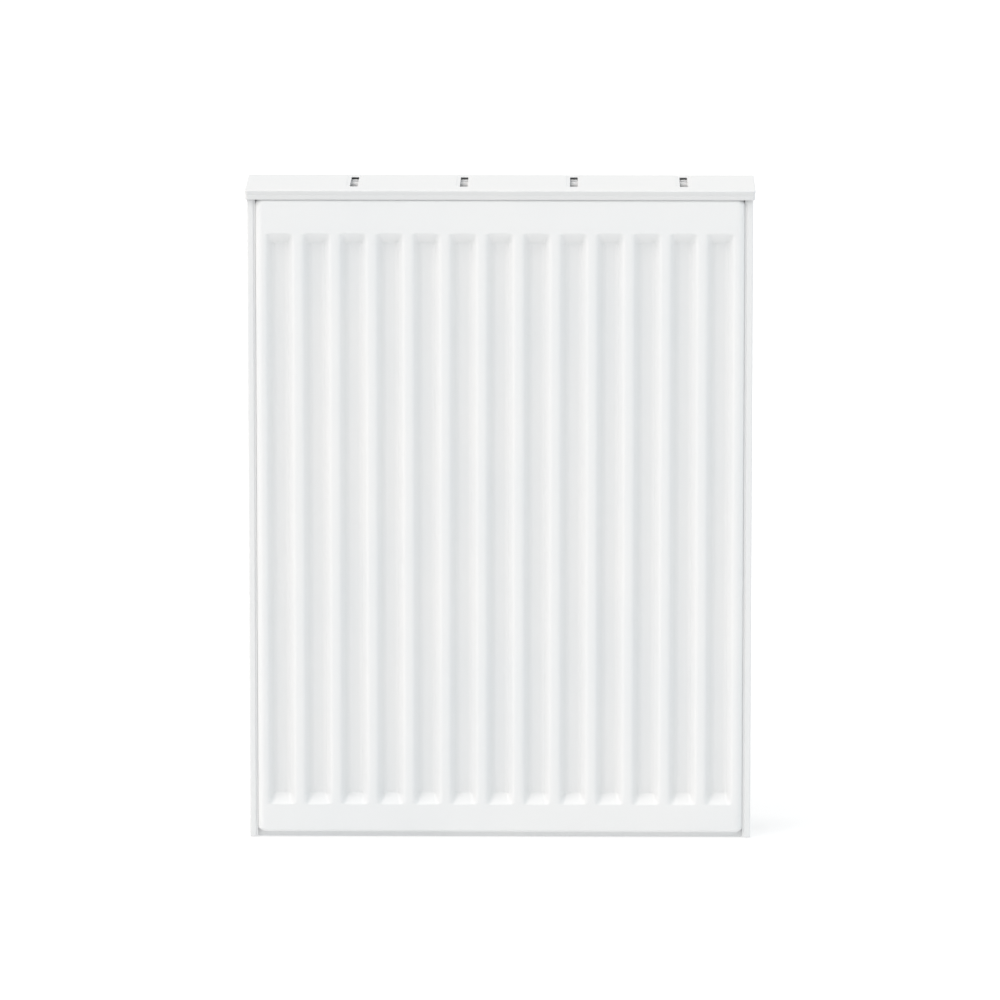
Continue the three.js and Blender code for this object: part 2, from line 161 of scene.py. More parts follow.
# Air vent and blanking plug
FIT_GAP = 0.3 * MM
SEAL_BEND = 0.6 * MM
SPIGOT_RADIUS = 10.1 * MM
SPIGOT = 9 * MM
HEX_FLATS = 22 * MM
HEX_CHAMFER = 0.05 * MM
HEX_TURNING = 0.6 * MM
PLUG_EDGE = 0.4 * MM
PLUG_OVERLAP = 0.5 * MM
BOSS_RADIUS = 4.6 * MM
SQUARE_ROOM = 3.7 * MM
SQUARE_ROOM_FLOOR = 2.7 * MM
KEY_FLATS = 12 * MM
KEY_DEPTH = 6 * MM
KEY_OVERSHOOT = 1 * MM
KEY_CHAMFER = 0.1 * MM
SCREW_FLATS = 5 * MM
SCREW_BEND = 0.4 * MM
SCREW_CHAMFER = 0.35 * MM
SCREW_ROOT = 3 * MM
SHANK_RADIUS = 2.6 * MM
SHANK_TIP = 0.7
SHANK_TAPER = 1.2 * MM
SHANK_OVERLAP = 0.4 * MM
COLLAR_BEND = 0.5 * MM
SPOUT_RADIUS = 1.1 * MM
SPOUT_ROOT = 1 * MM
SPOUT_SWELL = 1.15
SPOUT_WALL = 0.45 * MM
SPOUT_HOLLOW = 2 * MM
SPOUT_TAPER = 0.3 * MM
SPOUT_EDGE = 0.2 * MM
SPOUT_ROOM = 0.85
RIBS = 18
RIB_RADIUS = 0.4 * MM
RIB_INSET = 0.3 * MM
RIB_SINK = 0.05 * MM

# Floor: mostly lit by itself, so that it stays an even near-white
FLOOR_REACH = 120
FLOOR_TONES = ((0.34, 0.34, 0.34), (0.36, 0.36, 0.36))
FLOOR_GLOW = 0.64
FLOOR_CLOUDS = 3.0
FLOOR_ROUGHNESS = 0.9
FLOOR_SPECULAR = 0.1

# Light: each soft box is a direction, how tightly it gathers and its strength. A negative strength
# takes light from that side; it is less than FILL_LEVEL, so that the sum stays above zero.
FILL_LEVEL = 0.28
FILL_BOXES = (
    ((0.9, -0.1, 0.4), 2, 0.92),
    ((-1.0, 0.25, 0.0), 3, -0.25),
)
FILL_COLOUR = (0.88, 0.96, 1.0, 1)
WARM_BOXES = (
    ((-0.57, -0.3, 0.77), 6, 3.35),
    ((0, 0.95, 0.3), 2, 0.5),
    ((0, 0.3, 0.95), 3, 0.3),
)
WARM_COLOUR = (1.05, 1.005, 0.975, 1)
HORIZON = (24, 0.9)

# Camera
AZIMUTH = math.radians(0.65)
ELEVATION = math.radians(10.2)
DISTANCE = 8.0
VIEW_WIDTH = 911 * MM
AIM_RAISE = 15.5 * MM
SENSOR = 36
CLIP_END = 500


# ---------------------------------------------------------------- mesh helpers

def arc(start, end, count):
    """count + 1 even steps from start to end."""
    return [start + (end - start) * i / count for i in range(count + 1)]


def bridge(bm, first, second, closed=True):
    """Faces between two equally long rows of vertices."""
    count = len(first)
    for i in range(count if closed else count - 1):
        j = (i + 1) % count
        corners = []
        for v in (first[i], first[j], second[j], second[i]):
            if v not in corners:
                corners.append(v)
        if len(corners) > 2:
            bm.faces.new(corners)


def round_corners(points, radius, closed, steps=5):
    """The same outline with each corner rounded by about radius."""
    made = []
    count = len(points)
    for i, here in enumerate(points):
        p = Vector(here)
        if not closed and i in (0, count - 1):
            made.append(p)
            continue
        a, b = Vector(points[i - 1]) - p, Vector(points[(i + 1) % count]) - p
        reach = min(radius, 0.48 * a.length, 0.48 * b.length)
        start, end = p + a.normalized() * reach, p + b.normalized() * reach
        for t in arc(0, 1, steps):
            made.append(start * (1 - t) ** 2 + p * 2 * t * (1 - t) + end * t ** 2)
    return made


def turned(bm, profile, centre, axis, sides=64, radius_at=None):
    """A closed profile of (along, radius) turned about an axis direction through centre."""
    axis = Vector(axis)
    u = Vector((0, 0, 1)) if abs(axis.z) < 0.5 else Vector((1, 0, 0))
    v = axis.cross(u)
    rings = []
    for along, radius in profile:
        if radius < 1e-6:
            rings.append([bm.verts.new(centre + axis * along)] * sides)
            continue
        ring = []
        for i in range(sides):
            turn = 2 * math.pi * i / sides
            r = radius_at(along, radius, i / sides) if radius_at else radius
            ring.append(bm.verts.new(centre + axis * along + (u * math.cos(turn) + v * math.sin(turn)) * r))
        rings.append(ring)
    for a, b in zip(rings, rings[1:] + rings[:1]):
        if a[0] is not a[1] or b[0] is not b[1]:
            bridge(bm, a, b)


def prism(bm, outline, put, start, end, chamfer):
    """A closed 2D outline drawn from start to end with softened end edges."""
    middle = sum((Vector(p) for p in outline), Vector((0, 0))) / len(outline)
    rings = []
    for along, inset in ((start, chamfer), (start + chamfer, 0), (end - chamfer, 0), (end, chamfer)):
        ring = []
        for p in outline:
            way = Vector(p) - middle
            q = middle + way * (1 - inset / way.length)
            ring.append(bm.verts.new(put(q.x, q.y, along)))
        rings.append(ring)
    for a, b in zip(rings, rings[1:]):
        bridge(bm, a, b)
    bm.faces.new(rings[0])
    bm.faces.new(rings[-1])


def regular(sides, flats):
    """Corners of a regular polygon by the distance across its flats."""
    corner = flats / 2 / math.cos(math.pi / sides)
    turns = [(i + 0.5) * 2 * math.pi / sides for i in range(sides)]
    return [(corner * math.cos(t), corner * math.sin(t)) for t in turns]


def strip(bm, path, thickness, put, start, end):
    """Folded sheet: an open 2D centre line of even thickness, drawn from start to end."""
    soft = 0.15 * thickness
    path = [Vector(p) for p in path]
    normals = []
    for i, p in enumerate(path):
        ahead = (path[min(i + 1, len(path) - 1)] - p).normalized()
        behind = (p - path[max(i - 1, 0)]).normalized()
        way = (ahead + behind).normalized()
        normals.append(Vector((-way.y, way.x)))
    first, last = (path[1] - path[0]).normalized(), (path[-1] - path[-2]).normalized()
    centre = [path[0], path[0] + first * soft, *path[1:-1], path[-1] - last * soft, path[-1]]
    normals = [normals[0], *normals, normals[-1]]
    halves = [thickness / 2 - soft, *[thickness / 2] * len(path), thickness / 2 - soft]
    rings = []
    for along, inset in ((start, soft), (start + soft, 0), (end - soft, 0), (end, soft)):
        left, right = [], []
        for p, normal, half in zip(centre, normals, halves):
            a, b = p + normal * (half - inset), p - normal * (half - inset)
            left.append(bm.verts.new(put(a.x, a.y, along)))
            right.append(bm.verts.new(put(b.x, b.y, along)))
        rings.append((left, right))
    for (left, right), (next_left, next_right) in zip(rings, rings[1:]):
        bridge(bm, left + right[::-1], next_left + next_right[::-1])
    for left, right in (rings[0], rings[-1]):
        bridge(bm, left, right, closed=False)


def to_mesh(name, bm):
    """A clean mesh from a bmesh, which is used up."""
    bmesh.ops.remove_doubles(bm, verts=bm.verts, dist=1e-6)
    bmesh.ops.recalc_face_normals(bm, faces=bm.faces)
    mesh = bpy.data.meshes.new(name)
    bm.to_mesh(mesh)
    bm.free()
    return mesh


def combine(base, *steps):
    """A solid changed by (operation, solid) steps: UNION, DIFFERENCE or INTERSECT."""
    for operation, tool in steps:
        solids = []
        for bm in (base, tool):
            solid = bpy.data.objects.new("solid", to_mesh("solid", bm))
            bpy.context.scene.collection.objects.link(solid)
            solids.append(solid)
        cut = solids[0].modifiers.new("cut", "BOOLEAN")
        cut.operation = operation
        cut.object = solids[1]
        base = bmesh.new()
        base.from_object(solids[0], bpy.context.evaluated_depsgraph_get())
        for solid in solids:
            bpy.data.meshes.remove(solid.data)
    return base


def finished(name, bm, material, body, slot, *nodes, sharp=35, thickness=0):
    """An object that rides on a body and stands for its CAD nodes."""
    mesh = to_mesh(name, bm)
    mesh.shade_smooth()
    mesh.set_sharp_from_angle(angle=math.radians(sharp))
    piece = bpy.data.objects.new(name, mesh)
    bpy.context.scene.collection.objects.link(piece)
    mesh.materials.append(material)
    if thickness:
        solid = piece.modifiers.new("thickness", "SOLIDIFY")
        solid.thickness = thickness
        solid.offset = -1
    weighted = piece.modifiers.new("normals", "WEIGHTED_NORMAL")
    weighted.keep_sharp = True
    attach(piece, body)
    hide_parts(*nodes)
    return piece


# ---------------------------------------------------------------- materials

def node_material(name):
    """A material with its node tree, its shader and the object's own coordinates."""
    material = bpy.data.materials.new(name)
    material.use_nodes = True
    tree = material.node_tree
    place = tree.nodes.new("ShaderNodeTexCoord")
    return material, tree, tree.nodes["Principled BSDF"], place.outputs["Object"]


def stretched(tree, place, scale):
    """Coordinates scaled by different amounts along the three axes."""
    node = tree.nodes.new("ShaderNodeMapping")
    node.inputs["Scale"].default_value = scale
    tree.links.new(place, node.inputs["Vector"])
    return node.outputs["Vector"]


def noise(tree, place, scale, detail=2.0):
    """Soft irregular values from 0 to 1."""
    node = tree.nodes.new("ShaderNodeTexNoise")
    node.inputs["Scale"].default_value = scale
    node.inputs["Detail"].default_value = detail
    tree.links.new(place, node.inputs["Vector"])
    return node.outputs["Fac"]


def tint(tree, shader, value, dark, light):
    """Base colour between two close tones."""
    node = tree.nodes.new("ShaderNodeValToRGB")
    for element, position, colour in zip(node.color_ramp.elements, (0.3, 0.7), (dark, light)):
        element.position = position
        element.color = (*colour, 1)
    tree.links.new(value, node.inputs["Fac"])
    tree.links.new(node.outputs["Color"], shader.inputs["Base Color"])


def gloss(tree, shader, value, low, high):
    """Roughness that varies with value between low and high."""
    node = tree.nodes.new("ShaderNodeMapRange")
    node.inputs["To Min"].default_value = low
    node.inputs["To Max"].default_value = high
    tree.links.new(value, node.inputs["Value"])
    tree.links.new(node.outputs["Result"], shader.inputs["Roughness"])


def bump(tree, shader, height, strength, distance, below=None):
    """Relief on the shader, on top of the relief below if there is one."""
    node = tree.nodes.new("ShaderNodeBump")
    node.inputs["Strength"].default_value = strength
    node.inputs["Distance"].default_value = distance
    tree.links.new(height, node.inputs["Height"])
    if below:
        tree.links.new(below, node.inputs["Normal"])
    tree.links.new(node.outputs["Normal"], shader.inputs["Normal"])
    return node.outputs["Normal"]


def white_coat(name, level, peel_scale):
    """White paint: a faint cloudiness, a fine orange peel and a satin gloss."""
    material, tree, shader, place = node_material(name)
    dark = (level * 0.985, level * 0.995, level)
    light = (level * 1.01, level * 1.012, level * 1.01)
    tint(tree, shader, noise(tree, place, 9.0), dark, light)
    gloss(tree, shader, noise(tree, place, 40.0), 0.28, 0.38)
    peel = bump(tree, shader, noise(tree, place, peel_scale, 1.0), 0.10, 0.4 * MM)
    bump(tree, shader, noise(tree, place, 60.0, 1.0), 0.05, 1.0 * MM, below=peel)
    return material


def bare_metal(name, dark, light, rough, grain):
    """Plated or rolled metal with fine drawn lines."""
    material, tree, shader, place = node_material(name)
    shader.inputs["Metallic"].default_value = 1.0
    lines = noise(tree, stretched(tree, place, grain), 1.0, 3.0)
    tint(tree, shader, noise(tree, place, 300.0), dark, light)
    gloss(tree, shader, lines, *rough)
    bump(tree, shader, lines, 0.12, 0.1 * MM)
    return material


def dull(name, dark, light, rough, scale, height):
    """Rubber or moulded plastic with a fine surface grain."""
    material, tree, shader, place = node_material(name)
    tint(tree, shader, noise(tree, place, scale / 8), dark, light)
    gloss(tree, shader, noise(tree, place, scale / 4), *rough)
    bump(tree, shader, noise(tree, place, scale), height, 0.2 * MM)
    return material


ENAMEL = white_coat("white_enamel", 0.79, 420.0)
# Covers are painted apart from the panels, but their darker levels are painted shade for the lip and edges.
SHADED_COVER_COAT = white_coat("white_cover_coat_with_painted_shade", 0.70, 700.0)
SHADED_SIDE_COAT = white_coat("white_side_coat_with_painted_shade", 0.77, 700.0)
NICKEL = bare_metal("nickel_plate", (0.66, 0.63, 0.58), (0.74, 0.71, 0.66), (0.16, 0.3), (4000, 300, 300))
STEEL = bare_metal("spring_steel", (0.40, 0.41, 0.43), (0.50, 0.51, 0.53), (0.3, 0.45), (200, 3000, 3000))
RUBBER = dull("seal_rubber", (0.015, 0.015, 0.016), (0.03, 0.03, 0.032), (0.6, 0.8), 3000.0, 0.3)
PLASTIC = dull("white_plastic", (0.78, 0.785, 0.78), (0.83, 0.83, 0.82), (0.35, 0.5), 1800.0, 0.12)


# ---------------------------------------------------------------- plates with a swept rim

def plate(bm, put, columns, rows, depth_at, skip=lambda u, v: False):
    """A pressed flat whose plan corners are rounded.

    columns and rows hold both corner radii. Gives the outline as (vertex, point, way out).
    """
    radius = PLAN_RADIUS
    cut_u = (columns.index(columns[0] + radius), columns.index(columns[-1] - radius))
    cut_v = (rows.index(rows[0] + radius), rows.index(rows[-1] - radius))
    grid = {(i, j): bm.verts.new(put(u, v, depth_at(u, v)))
            for i, u in enumerate(columns) for j, v in enumerate(rows)}
    for i in range(len(columns) - 1):
        for j in range(len(rows) - 1):
            at_side = not cut_u[0] <= i < cut_u[1]
            at_end = not cut_v[0] <= j < cut_v[1]
            middle = ((columns[i] + columns[i + 1]) / 2, (rows[j] + rows[j + 1]) / 2)
            if not (at_side and at_end) and not skip(*middle):
                bm.faces.new([grid[i, j], grid[i + 1, j], grid[i + 1, j + 1], grid[i, j + 1]])

    ends_u, ends_v = (0, len(columns) - 1), (0, len(rows) - 1)
    straight = {
        (0, -1): [(i, ends_v[0]) for i in range(cut_u[0], cut_u[1] + 1)],
        (1, 0): [(ends_u[1], j) for j in range(cut_v[0], cut_v[1] + 1)],
        (0, 1): [(i, ends_v[1]) for i in range(cut_u[1], cut_u[0] - 1, -1)],
        (-1, 0): [(ends_u[0], j) for j in range(cut_v[1], cut_v[0] - 1, -1)],
    }
    ways = list(straight)
    outline = []
    for way, following in zip(ways, ways[1:] + ways[:1]):
        here = [(grid[i, j], Vector((columns[i], rows[j])), Vector(way)) for i, j in straight[way]]
        (i, j), (k, m) = straight[way][-1], straight[following][0]
        centre_key = (i, m) if way[0] == 0 else (k, j)
        centre = Vector((columns[centre_key[0]], rows[centre_key[1]]))
        corner = []
        for turn in arc(0, math.pi / 2, 5)[1:-1]:
            out = Vector(way) * math.cos(turn) + Vector(following) * math.sin(turn)
            point = centre + out * radius
            corner.append((bm.verts.new(put(point.x, point.y, depth_at(*point))), point, out))
        fan = [grid[i, j], *[v for v, _, _ in corner], grid[k, m], *between(grid, centre_key, (i, j), (k, m))]
        bm.faces.new(fan)
        outline += here + corner
    return outline


def between(grid, centre, start, end):
    """Grid vertices from end back through centre to start, without both ends."""
    def walk(a, b):
        steps = max(abs(b[0] - a[0]), abs(b[1] - a[1]))
        return [(a[0] + (b[0] - a[0]) * n // steps, a[1] + (b[1] - a[1]) * n // steps)
                for n in range(steps)]
    keys = walk(end, centre)[1:] + walk(centre, start)
    return [grid[key] for key in keys]


def sweep(bm, put, outline, steps, low_share=1.0, high_share=1.0):
    """A skirt around an outline from steps of (outward, down); gives its last ring.

    The shares narrow or widen the skirt along the low and high edges of the second axis.
    """
    ring = [v for v, _, _ in outline]
    for out, down in steps:
        following = []
        for _, point, way in outline:
            reach = Vector((way.x, way.y * (low_share if way.y < 0 else high_share))) * out
            following.append(bm.verts.new(put(*(point + reach), down)))
        bridge(bm, ring, following)
        ring = following
    return ring


def merged(values, gap=0.05 * MM):
    """Sorted values without near repeats."""
    kept = []
    for value in sorted(values):
        if not kept or value - kept[-1] > gap:
            kept.append(value)
    return kept


# ---------------------------------------------------------------- pressed sheets

def press_depth(s, depth, run, mouth_radius, floor_radius):
    """Depth of a pressed wall at a distance s inside its mouth, with both edges rounded."""
    angle = math.atan2(depth, run)
    mouth, foot = (r * math.tan(angle / 2) for r in (mouth_radius, floor_radius))
    if s <= -mouth:
        return 0.0
    if s >= run + foot:
        return depth
    if s < mouth * math.cos(angle):
        return mouth_radius - math.sqrt(mouth_radius ** 2 - (s + mouth) ** 2)
    if s > run - foot * math.cos(angle):
        return depth - floor_radius + math.sqrt(floor_radius ** 2 - (run + foot - s) ** 2)
    return s * math.tan(angle)


def press_stops(depth, run, mouth_radius, floor_radius, fine):
    """Distances inside the mouth at which a pressed wall needs a row of points."""
    angle = math.atan2(depth, run)
    mouth, foot = (r * math.tan(angle / 2) for r in (mouth_radius, floor_radius))
    turns = [math.sin(a) for a in arc(0, angle, fine)]
    bends = [mouth_radius * t - mouth for t in turns] + [run + foot - floor_radius * t for t in turns]
    return [*bends, run / 2]


def pressed_sheet(node, facing, groove_length, bend, top_bend, fine):
    """One pressed half of a water panel. facing is -1 if its outer side looks towards -Y."""
    low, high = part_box(node)
    middle = (low + high) / 2
    seam = high.y if facing < 0 else low.y
    rise = high.y - low.y
    depth = rise - SHEET
    half_x, half_z = (high.x - low.x) / 2, (high.z - low.z) / 2
    flat_x = half_x - SIDE_FLANGE - bend
    bottom_bend = min(bend, BOTTOM_BEND)
    top = half_z + TOP_RAISE
    flat_low, flat_high = BOTTOM_FLANGE + bottom_bend - half_z, top - TOP_FLANGE - top_bend
    centres = [(i - (GROOVES - 1) / 2) * PITCH for i in range(GROOVES)]

    wall = press_stops(depth, WALL_RUN, MOUTH_RADIUS, FLOOR_RADIUS, fine)
    columns = [c + side * (MOUTH / 2 - s) for c in centres for side in (-1, 1) for s in wall]
    columns += [c + step for c in centres for step in (-PITCH / 2, 0)]
    columns = merged([x for x in columns if abs(x) < flat_x - PLAN_RADIUS - 0.1 * MM])
    columns = [-flat_x, -flat_x + PLAN_RADIUS, *columns, flat_x - PLAN_RADIUS, flat_x]
    slope = press_stops(depth, END_RUN, END_RADIUS, END_RADIUS, fine)
    rows = [side * (groove_length / 2 - s) for side in (-1, 1) for s in slope]
    rows += arc(-groove_length / 2 + 2 * END_RUN, groove_length / 2 - 2 * END_RUN, 10)
    rows = [flat_low, flat_low + PLAN_RADIUS, *merged(rows), flat_high - PLAN_RADIUS, flat_high]

    def depth_at(x, z):
        centre = min(centres, key=lambda c: abs(x - c))
        across = press_depth(MOUTH / 2 - abs(x - centre), depth, WALL_RUN, MOUTH_RADIUS, FLOOR_RADIUS)
        along = press_depth(groove_length / 2 - abs(z), depth, END_RUN, END_RADIUS, END_RADIUS)
        power = CORNER_SHARPNESS
        short = ((1 - across / depth) ** power + (1 - along / depth) ** power) ** (1 / power)
        return depth * max(0.0, 1 - short)

    def put(x, z, d):
        return Vector((middle.x + x, seam + facing * (rise - d), middle.z + z))

    bm = bmesh.new()
    outline = plate(bm, put, columns, rows, depth_at)
    steps = [(bend * math.sin(a), bend * (1 - math.cos(a))) for a in arc(0, math.pi / 2, 3 * fine)[1:]]
    steps += [(bend + FLANGE_FILLET * (1 - math.cos(a)), depth - FLANGE_FILLET * (1 - math.sin(a)))
              for a in arc(0, math.pi / 2, fine)]
    ring = sweep(bm, put, outline, steps, bottom_bend / bend, top_bend / bend)
    border = []
    for _, point, way in outline:
        start = point - way * PLAN_RADIUS
        limit = (half_x, top if way.y > 0 else half_z)
        room = [(half - math.copysign(1, w) * s) / abs(w)
                for half, w, s in zip(limit, way, start) if abs(w) > 1e-6]
        edge = start + way * min(room)
        border.append(bm.verts.new(put(edge.x, edge.y, depth)))
    bridge(bm, ring, border)
    finished(node + "_pressed", bm, ENAMEL, ROOT, "white_enamel", node, sharp=60, thickness=SHEET)


def water_panels():
    """Both panels: each has an outer sheet and an inner one with slightly shorter grooves."""
    for panel, other, facing in (("front", "rear", -1), ("rear", "front", 1)):
        pressed_sheet(f"{panel}_panel_{panel}_sheet", facing, OUTER_GROOVE, OUTER_BEND, TOP_LEAN, fine=4)
        pressed_sheet(f"{panel}_panel_{other}_sheet", -facing, INNER_GROOVE, INNER_BEND, INNER_BEND, fine=2)


# ---------------------------------------------------------------- top grille

def grille_slots(bm, put, places):
    """Four air slots, each in a softly pressed recess; gives the rectangles that hold them."""
    wide, long = SLOT_WIDTH / 2, SLOT_LENGTH / 2
    patches = []
    for x in places:
        rings = []
        for grow, down, radius in RECESS_RINGS:
            half_u, half_v = wide + grow, long + grow
            square = [(-half_u, -half_v), (half_u, -half_v), (half_u, half_v), (-half_u, half_v)]
            loop = round_corners(square, radius, closed=True, steps=4)
            rings.append([bm.verts.new(put(x + p.x, SLOT_MIDDLE + p.y, down)) for p in loop])
        for a, b in zip(rings, rings[1:]):
            bridge(bm, a, b)
        patch = (x - wide - PATCH_MARGIN, x + wide + PATCH_MARGIN,
                 SLOT_MIDDLE - long - PATCH_MARGIN, SLOT_MIDDLE + long + PATCH_MARGIN)
        around_slot(bm, put, patch, rings[0])
        patches.append(patch)
    return patches


def around_slot(bm, put, patch, loop):
    """Flat faces between a patch's four corners and the rounded loop inside it."""
    u0, u1, v0, v1 = patch
    corners = [bm.verts.new(put(u, v, 0)) for u, v in ((u0, v0), (u1, v0), (u1, v1), (u0, v1))]
    each = len(loop) // 4
    for i, corner in enumerate(corners):
        turn = loop[i * each:(i + 1) * each]
        following = (i + 1) % 4
        bm.faces.new([corner, *turn])
        bm.faces.new([corner, corners[following], loop[following * each], turn[-1]])


def lip_steps(drop):
    """Outward and down: a small top edge, a lip that leans in, a crease and a rolled bead."""
    face = GRILLE_BEND
    foot = face - LIP_LEAN
    middle = drop - BEAD_HALF
    steps = [(face * math.sin(a), face * (1 - math.cos(a))) for a in arc(0, math.pi / 2, 6)[1:]]
    steps += [(foot + CREASE_OUT, LIP_CREASE - CREASE_RISE), (foot - CREASE_IN, LIP_CREASE)]
    steps += [(foot - CREASE_IN + BEAD_RISE * math.cos(a), middle + BEAD_HALF * math.sin(a))
              for a in arc(-math.pi / 2, math.pi / 2, 10)]
    return steps


def top_grille():
    """The flat cover with its four slots and a lip all around."""
    low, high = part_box("top_grille")
    middle = (low + high) / 2
    half_x, half_y = (high.x - low.x) / 2 - GRILLE_BEND, (high.y - low.y) / 2 - GRILLE_BEND

    def put(x, y, d):
        return Vector((middle.x + x, middle.y + y, high.z - d))

    bm = bmesh.new()
    patches = grille_slots(bm, put, [step * PITCH for step in SLOT_STEPS])
    columns = sorted(u for patch in patches for u in patch[:2])
    columns = [-half_x, -half_x + PLAN_RADIUS, *columns, half_x - PLAN_RADIUS, half_x]
    rows = [-half_y, -half_y + PLAN_RADIUS, *patches[0][2:], half_y - PLAN_RADIUS, half_y]

    def in_patch(u, v):
        return any(p[0] < u < p[1] and p[2] < v < p[3] for p in patches)

    outline = plate(bm, put, columns, rows, lambda u, v: 0.0, in_patch)
    sweep(bm, put, outline, lip_steps(high.z - low.z))
    # The cover coat is a darker white that paints the shade on the grille's lip.
    finished("grille_cover", bm, SHADED_COVER_COAT, GRILLE, "white_enamel", "top_grille",
             sharp=50, thickness=GRILLE_SHEET)


# ---------------------------------------------------------------- folded covers, fins, clips and lugs

def side_panel(name, side):
    """A folded cover: web, narrow front and rear returns, and an inner fold that closes the gap."""
    low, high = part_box(name + "_side_panel")
    outer = (high.x if side > 0 else -low.x) - SIDE_SHEET / 2
    inner = RETURN_REACH + SIDE_SHEET / 2
    lip = FOLD_REACH
    front, rear = low.y + SIDE_INSET + SIDE_SHEET / 2, high.y - SIDE_INSET - SIDE_SHEET / 2
    step = FOLD_STEP
    path = [(lip, front + step), (inner, front + step), (inner, front), (outer, front),
            (outer, rear), (inner, rear), (inner, rear - step), (lip, rear - step)]
    path = round_corners(path, SIDE_BEND, closed=False)

    def put(x, y, z):
        return Vector((side * x, y, z))

    bm = bmesh.new()
    strip(bm, path, SIDE_SHEET, put, low.z, high.z)
    for level in LEVELS:
        tee_low, tee_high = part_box(f"{level}_{name}_tee")
        centre = Vector((side * outer, (low.y + high.y) / 2, (tee_low.z + tee_high.z) / 2))
        hole = bmesh.new()
        reach = 2 * SIDE_SHEET
        turned(hole, [(-reach, 0), (-reach, SIDE_HOLE), (reach, SIDE_HOLE), (reach, 0)], centre, (1, 0, 0))
        bm = combine(bm, ("DIFFERENCE", hole))
    # The side coat is a slightly darker white that paints the shade on the covers' front edges.
    finished(name + "_side_cover", bm, SHADED_SIDE_COAT, ROOT, "white_enamel", name + "_side_panel")


def convector(panel):
    """Corrugated sheet: narrow crests on its water panel, wide valleys towards the middle."""
    node = panel + "_convector"
    low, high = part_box(node)
    inward = 1 if panel == "front" else -1
    crest = (low.y if inward > 0 else high.y) + inward * FIN_SHEET / 2
    valley = (high.y if inward > 0 else low.y) - inward * FIN_SHEET / 2
    run = (PITCH - FIN_CREST - FIN_VALLEY) / 2
    waves = GROOVES - 1
    path = []
    for i in range(waves):
        x = (i - (waves - 1) / 2) * PITCH
        path += [(x - FIN_CREST / 2 - run, valley), (x - FIN_CREST / 2, crest),
                 (x + FIN_CREST / 2, crest), (x + FIN_CREST / 2 + run, valley)]
    bm = bmesh.new()
    path = round_corners(path, FIN_BEND, closed=False)
    strip(bm, path, FIN_SHEET, lambda x, y, z: Vector((x, y, z)), low.z, high.z)
    finished(node + "_fins", bm, ENAMEL, ROOT, "white_enamel", node)


def flange_clip(node, material, slot, body, outward, grip, leg_cut):
    """A clip folded over a seam flange. outward is the way from the flange to its back.

    grip is how far each leg bends in near its end; leg_cut shortens the legs.
    """
    low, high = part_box(node)
    middle = (low + high) / 2
    outward = Vector(outward)
    along_z = abs(outward.z) > 0.5
    across = (high.x - low.x) / 2 if along_z else (high.z - low.z) / 2
    width_way = Vector((1, 0, 0)) if along_z else Vector((0, 0, 1))
    ends = sorted((low.dot(outward), high.dot(outward)))
    back, mouth = ends[1] - CLIP_SHEET / 2, ends[0] + leg_cut
    side = (high.y - low.y - CLIP_SHEET) / 2
    pinch = side - grip
    narrow, wide = mouth + CLIP_PINCH, mouth + CLIP_FLARE
    path = [(-side, mouth), (-pinch, narrow), (-side, wide), (-side, back),
            (side, back), (side, wide), (pinch, narrow), (side, mouth)]
    path = round_corners(path, CLIP_BEND, closed=False)

    def put(y, reach, along):
        base = Vector((0, middle.y + y, 0)) + outward * reach
        other = middle.x if along_z else middle.z
        return base + width_way * (other + along)

    bm = bmesh.new()
    strip(bm, path, CLIP_SHEET, put, -across, across)
    finished(node + "_fold", bm, material, body, slot, node)


def clips():
    """Spring clips under the grille and plastic clips at the side covers."""
    for panel in PANELS:
        for name, side in SIDES.items():
            flange_clip(f"{panel}_{name}_grille_clip", STEEL, "spring_steel", GRILLE,
                        outward=(0, 0, 1), grip=CLIP_GRIP, leg_cut=CLIP_LEG_CUT)
            for level in LEVELS:
                flange_clip(f"{level}_{name}_{panel}_side_clip", PLASTIC, "white_plastic", ROOT,
                            outward=(side, 0, 0), grip=0, leg_cut=0)


def hanging_lug(node, level):
    """A strap lug: welded foot, a step outward and the strap that a wall hook slides behind."""
    low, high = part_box(node)
    foot, strap = low.y + LUG_SHEET / 2, high.y - LUG_SHEET / 2
    start, end = (high.z, low.z) if level > 0 else (low.z, high.z)
    down = -1 if level > 0 else 1
    knee = start + down * LUG_FOOT
    path = [(foot, start), (foot, knee), (strap, knee + down * (strap - foot)), (strap, end)]
    path = round_corners(path, LUG_BEND, closed=False)
    bm = bmesh.new()
    strip(bm, path, LUG_SHEET, lambda y, z, x: Vector((x, y, z)), low.x, high.x)
    for step in (-WELD_STEP, WELD_STEP):
        weld = Vector(((low.x + high.x) / 2 + step, low.y + LUG_SHEET, start + down * WELD_STEP))
        turned(bm, WELD_SPOT, weld, (0, 1, 0), sides=24)
    finished(node + "_strap", bm, ENAMEL, ROOT, "white_enamel", node)


# ---------------------------------------------------------------- tees and fittings

def thread(along, radius, turn):
    """Crest radius cut by a V thread that advances one pitch a turn."""
    if abs(radius - SOCKET_BORE) > 1e-7:
        return radius
    phase = (along / THREAD_PITCH - turn) % 1.0
    return radius + THREAD_HEIGHT * (1 - abs(2 * phase - 1)) - THREAD_HEIGHT / 2


